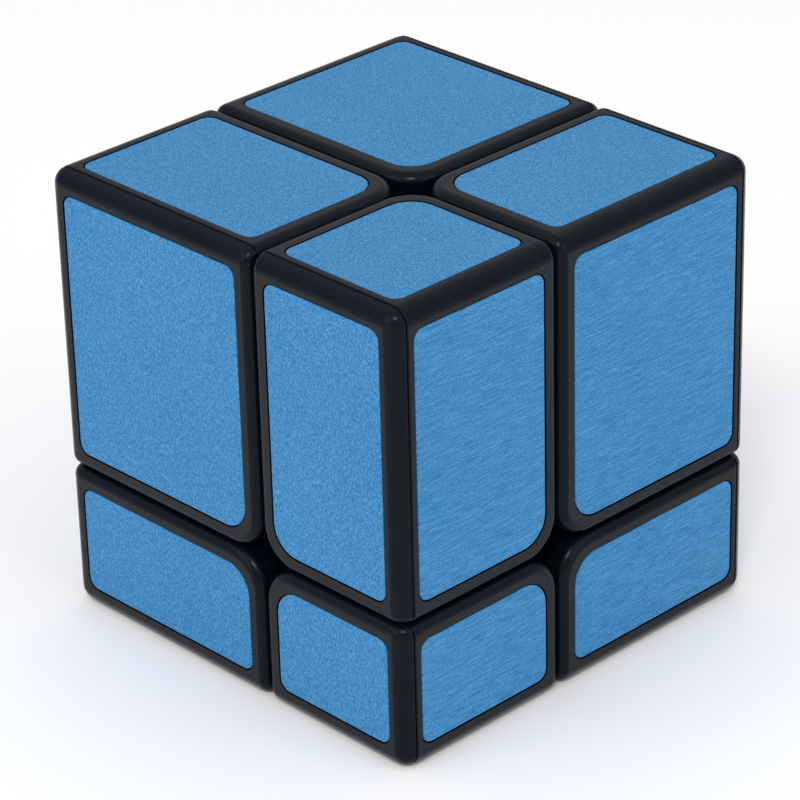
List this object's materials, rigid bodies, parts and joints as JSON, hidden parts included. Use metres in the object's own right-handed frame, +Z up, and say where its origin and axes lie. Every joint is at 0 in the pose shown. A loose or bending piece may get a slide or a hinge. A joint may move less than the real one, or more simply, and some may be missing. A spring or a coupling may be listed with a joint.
{
  "type": "mirror block cube puzzle",
  "caption": "Cubic twisty puzzle of unequal black plastic blocks with blue brushed film faces, turning in layers about an off-centre core.",
  "frame": {"origin": "under the middle of the solved cube, on the plane it stands on", "axes": "+Z up through the tall layer, -Y out of the front face (the face with the wide and the narrow column), +X towards the narrow column"},
  "size_m": [0.05, 0.05, 0.05],
  "materials": {
    "black_plastic": "moulded ABS, semi-gloss",
    "blue_film": "blue metallised film, fine brushed grain",
    "core_plastic": "moulded ABS, satin"
  },
  "bodies": {
    "core": {"core_with_screws": "core_plastic"},
    "left_centre": {"left_centre": "core_plastic"},
    "right_centre": {"right_centre": "core_plastic"},
    "front_centre": {"front_centre": "core_plastic"},
    "back_centre": {"back_centre": "core_plastic"},
    "bottom_centre": {"bottom_centre": "core_plastic"},
    "top_centre": {"top_centre": "core_plastic"},
    "bottom_front_edge": {"bottom_front_edge": "core_plastic"},
    "bottom_back_edge": {"bottom_back_edge": "core_plastic"},
    "top_front_edge": {"top_front_edge": "core_plastic"},
    "top_back_edge": {"top_back_edge": "core_plastic"},
    "bottom_left_edge": {"bottom_left_edge": "core_plastic"},
    "bottom_right_edge": {"bottom_right_edge": "core_plastic"},
    "top_left_edge": {"top_left_edge": "core_plastic"},
    "top_right_edge": {"top_right_edge": "core_plastic"},
    "front_left_edge": {"front_left_edge": "core_plastic"},
    "front_right_edge": {"front_right_edge": "core_plastic"},
    "back_left_edge": {"back_left_edge": "core_plastic"},
    "back_right_edge": {"back_right_edge": "core_plastic"},
    "bottom_left_front_corner": {"bottom_left_front_block": "black_plastic", "bottom_left_front_cover": "black_plastic", "bottom_left_front_sticker_left": "blue_film", "bottom_left_front_sticker_front": "blue_film", "bottom_left_front_sticker_bottom": "blue_film"},
    "bottom_left_back_corner": {"bottom_left_back_block": "black_plastic", "bottom_left_back_cover": "black_plastic", "bottom_left_back_sticker_left": "blue_film", "bottom_left_back_sticker_back": "blue_film", "bottom_left_back_sticker_bottom": "blue_film"},
    "bottom_right_front_corner": {"bottom_right_front_block": "black_plastic", "bottom_right_front_cover": "black_plastic", "bottom_right_front_sticker_right": "blue_film", "bottom_right_front_sticker_front": "blue_film", "bottom_right_front_sticker_bottom": "blue_film"},
    "bottom_right_back_corner": {"bottom_right_back_block": "black_plastic", "bottom_right_back_cover": "black_plastic", "bottom_right_back_sticker_right": "blue_film", "bottom_right_back_sticker_back": "blue_film", "bottom_right_back_sticker_bottom": "blue_film"},
    "top_left_front_corner": {"top_left_front_block": "black_plastic", "top_left_front_cover": "black_plastic", "top_left_front_sticker_left": "blue_film", "top_left_front_sticker_front": "blue_film", "top_left_front_sticker_top": "blue_film"},
    "top_left_back_corner": {"top_left_back_block": "black_plastic", "top_left_back_cover": "black_plastic", "top_left_back_sticker_left": "blue_film", "top_left_back_sticker_back": "blue_film", "top_left_back_sticker_top": "blue_film"},
    "top_right_front_corner": {"top_right_front_block": "black_plastic", "top_right_front_cover": "black_plastic", "top_right_front_sticker_right": "blue_film", "top_right_front_sticker_front": "blue_film", "top_right_front_sticker_top": "blue_film"},
    "top_right_back_corner": {"top_right_back_block": "black_plastic", "top_right_back_cover": "black_plastic", "top_right_back_sticker_right": "blue_film", "top_right_back_sticker_back": "blue_film", "top_right_back_sticker_top": "blue_film"}
  },
  "joints": [
    {"name": "top_layer_turn", "type": "hinge", "parent": "core", "child": "top_centre", "pos_m": [0.00485, -0.0031, 0.0163], "axis": [0, 0, 1], "continuous": true},
    {"name": "bottom_layer_turn", "type": "hinge", "parent": "core", "child": "bottom_centre", "pos_m": [0.00485, -0.0031, 0.0163], "axis": [0, 0, 1], "continuous": true},
    {"name": "right_centre_turn", "type": "hinge", "parent": "core", "child": "right_centre", "pos_m": [0.00485, -0.0031, 0.0163], "axis": [1, 0, 0], "continuous": true},
    {"name": "left_centre_turn", "type": "hinge", "parent": "core", "child": "left_centre", "pos_m": [0.00485, -0.0031, 0.0163], "axis": [1, 0, 0], "continuous": true},
    {"name": "back_centre_turn", "type": "hinge", "parent": "core", "child": "back_centre", "pos_m": [0.00485, -0.0031, 0.0163], "axis": [0, 1, 0], "continuous": true},
    {"name": "front_centre_turn", "type": "hinge", "parent": "core", "child": "front_centre", "pos_m": [0.00485, -0.0031, 0.0163], "axis": [0, 1, 0], "continuous": true},
    {"name": "bottom_front_edge_turn", "type": "hinge", "parent": "front_centre", "child": "bottom_front_edge", "pos_m": [0.00485, -0.0031, 0.0163], "axis": [0, 0, 1], "continuous": true},
    {"name": "bottom_back_edge_turn", "type": "hinge", "parent": "back_centre", "child": "bottom_back_edge", "pos_m": [0.00485, -0.0031, 0.0163], "axis": [0, 0, 1], "continuous": true},
    {"name": "top_front_edge_turn", "type": "hinge", "parent": "front_centre", "child": "top_front_edge", "pos_m": [0.00485, -0.0031, 0.0163], "axis": [0, 0, 1], "continuous": true},
    {"name": "top_back_edge_turn", "type": "hinge", "parent": "back_centre", "child": "top_back_edge", "pos_m": [0.00485, -0.0031, 0.0163], "axis": [0, 0, 1], "continuous": true},
    {"name": "bottom_left_edge_turn", "type": "hinge", "parent": "bottom_centre", "child": "bottom_left_edge", "pos_m": [0.00485, -0.0031, 0.0163], "axis": [1, 0, 0], "continuous": true},
    {"name": "bottom_right_edge_turn", "type": "hinge", "parent": "bottom_centre", "child": "bottom_right_edge", "pos_m": [0.00485, -0.0031, 0.0163], "axis": [1, 0, 0], "continuous": true},
    {"name": "left_layer_turn", "type": "hinge", "parent": "top_centre", "child": "top_left_edge", "pos_m": [0.00485, -0.0031, 0.0163], "axis": [1, 0, 0], "continuous": true},
    {"name": "right_layer_turn", "type": "hinge", "parent": "top_centre", "child": "top_right_edge", "pos_m": [0.00485, -0.0031, 0.0163], "axis": [1, 0, 0], "continuous": true},
    {"name": "front_left_edge_turn", "type": "hinge", "parent": "left_centre", "child": "front_left_edge", "pos_m": [0.00485, -0.0031, 0.0163], "axis": [0, 1, 0], "continuous": true},
    {"name": "front_right_edge_turn", "type": "hinge", "parent": "right_centre", "child": "front_right_edge", "pos_m": [0.00485, -0.0031, 0.0163], "axis": [0, 1, 0], "continuous": true},
    {"name": "back_left_edge_turn", "type": "hinge", "parent": "left_centre", "child": "back_left_edge", "pos_m": [0.00485, -0.0031, 0.0163], "axis": [0, 1, 0], "continuous": true},
    {"name": "back_right_edge_turn", "type": "hinge", "parent": "right_centre", "child": "back_right_edge", "pos_m": [0.00485, -0.0031, 0.0163], "axis": [0, 1, 0], "continuous": true},
    {"name": "bottom_left_front_corner_turn", "type": "hinge", "parent": "bottom_left_edge", "child": "bottom_left_front_corner", "pos_m": [0.00485, -0.0031, 0.0163], "axis": [0, 1, 0], "continuous": true},
    {"name": "bottom_left_back_corner_turn", "type": "hinge", "parent": "bottom_left_edge", "child": "bottom_left_back_corner", "pos_m": [0.00485, -0.0031, 0.0163], "axis": [0, 1, 0], "continuous": true},
    {"name": "bottom_right_front_corner_turn", "type": "hinge", "parent": "bottom_right_edge", "child": "bottom_right_front_corner", "pos_m": [0.00485, -0.0031, 0.0163], "axis": [0, 1, 0], "continuous": true},
    {"name": "bottom_right_back_corner_turn", "type": "hinge", "parent": "bottom_right_edge", "child": "bottom_right_back_corner", "pos_m": [0.00485, -0.0031, 0.0163], "axis": [0, 1, 0], "continuous": true},
    {"name": "front_layer_turn", "type": "hinge", "parent": "top_left_edge", "child": "top_left_front_corner", "pos_m": [0.00485, -0.0031, 0.0163], "axis": [0, 1, 0], "continuous": true},
    {"name": "back_layer_turn", "type": "hinge", "parent": "top_left_edge", "child": "top_left_back_corner", "pos_m": [0.00485, -0.0031, 0.0163], "axis": [0, 1, 0], "continuous": true},
    {"name": "top_right_front_corner_turn", "type": "hinge", "parent": "top_right_edge", "child": "top_right_front_corner", "pos_m": [0.00485, -0.0031, 0.0163], "axis": [0, 1, 0], "continuous": true},
    {"name": "top_right_back_corner_turn", "type": "hinge", "parent": "top_right_edge", "child": "top_right_back_corner", "pos_m": [0.00485, -0.0031, 0.0163], "axis": [0, 1, 0], "continuous": true}
  ],
  "couplings": [
    {"joint": "right_centre_turn", "follows": "right_layer_turn", "ratio": 1},
    {"joint": "left_centre_turn", "follows": "left_layer_turn", "ratio": 1},
    {"joint": "back_centre_turn", "follows": "back_layer_turn", "ratio": 1},
    {"joint": "front_centre_turn", "follows": "front_layer_turn", "ratio": 1},
    {"joint": "bottom_front_edge_turn", "follows": "bottom_layer_turn", "ratio": 1},
    {"joint": "bottom_back_edge_turn", "follows": "bottom_layer_turn", "ratio": 1},
    {"joint": "top_front_edge_turn", "follows": "top_layer_turn", "ratio": 1},
    {"joint": "top_back_edge_turn", "follows": "top_layer_turn", "ratio": 1},
    {"joint": "bottom_left_edge_turn", "follows": "left_layer_turn", "ratio": 1},
    {"joint": "bottom_right_edge_turn", "follows": "right_layer_turn", "ratio": 1},
    {"joint": "front_left_edge_turn", "follows": "front_layer_turn", "ratio": 1},
    {"joint": "front_right_edge_turn", "follows": "front_layer_turn", "ratio": 1},
    {"joint": "back_left_edge_turn", "follows": "back_layer_turn", "ratio": 1},
    {"joint": "back_right_edge_turn", "follows": "back_layer_turn", "ratio": 1},
    {"joint": "bottom_left_front_corner_turn", "follows": "front_layer_turn", "ratio": 1},
    {"joint": "bottom_left_back_corner_turn", "follows": "back_layer_turn", "ratio": 1},
    {"joint": "bottom_right_front_corner_turn", "follows": "front_layer_turn", "ratio": 1},
    {"joint": "bottom_right_back_corner_turn", "follows": "back_layer_turn", "ratio": 1},
    {"joint": "top_right_front_corner_turn", "follows": "front_layer_turn", "ratio": 1},
    {"joint": "top_right_back_corner_turn", "follows": "back_layer_turn", "ratio": 1}
  ]
}
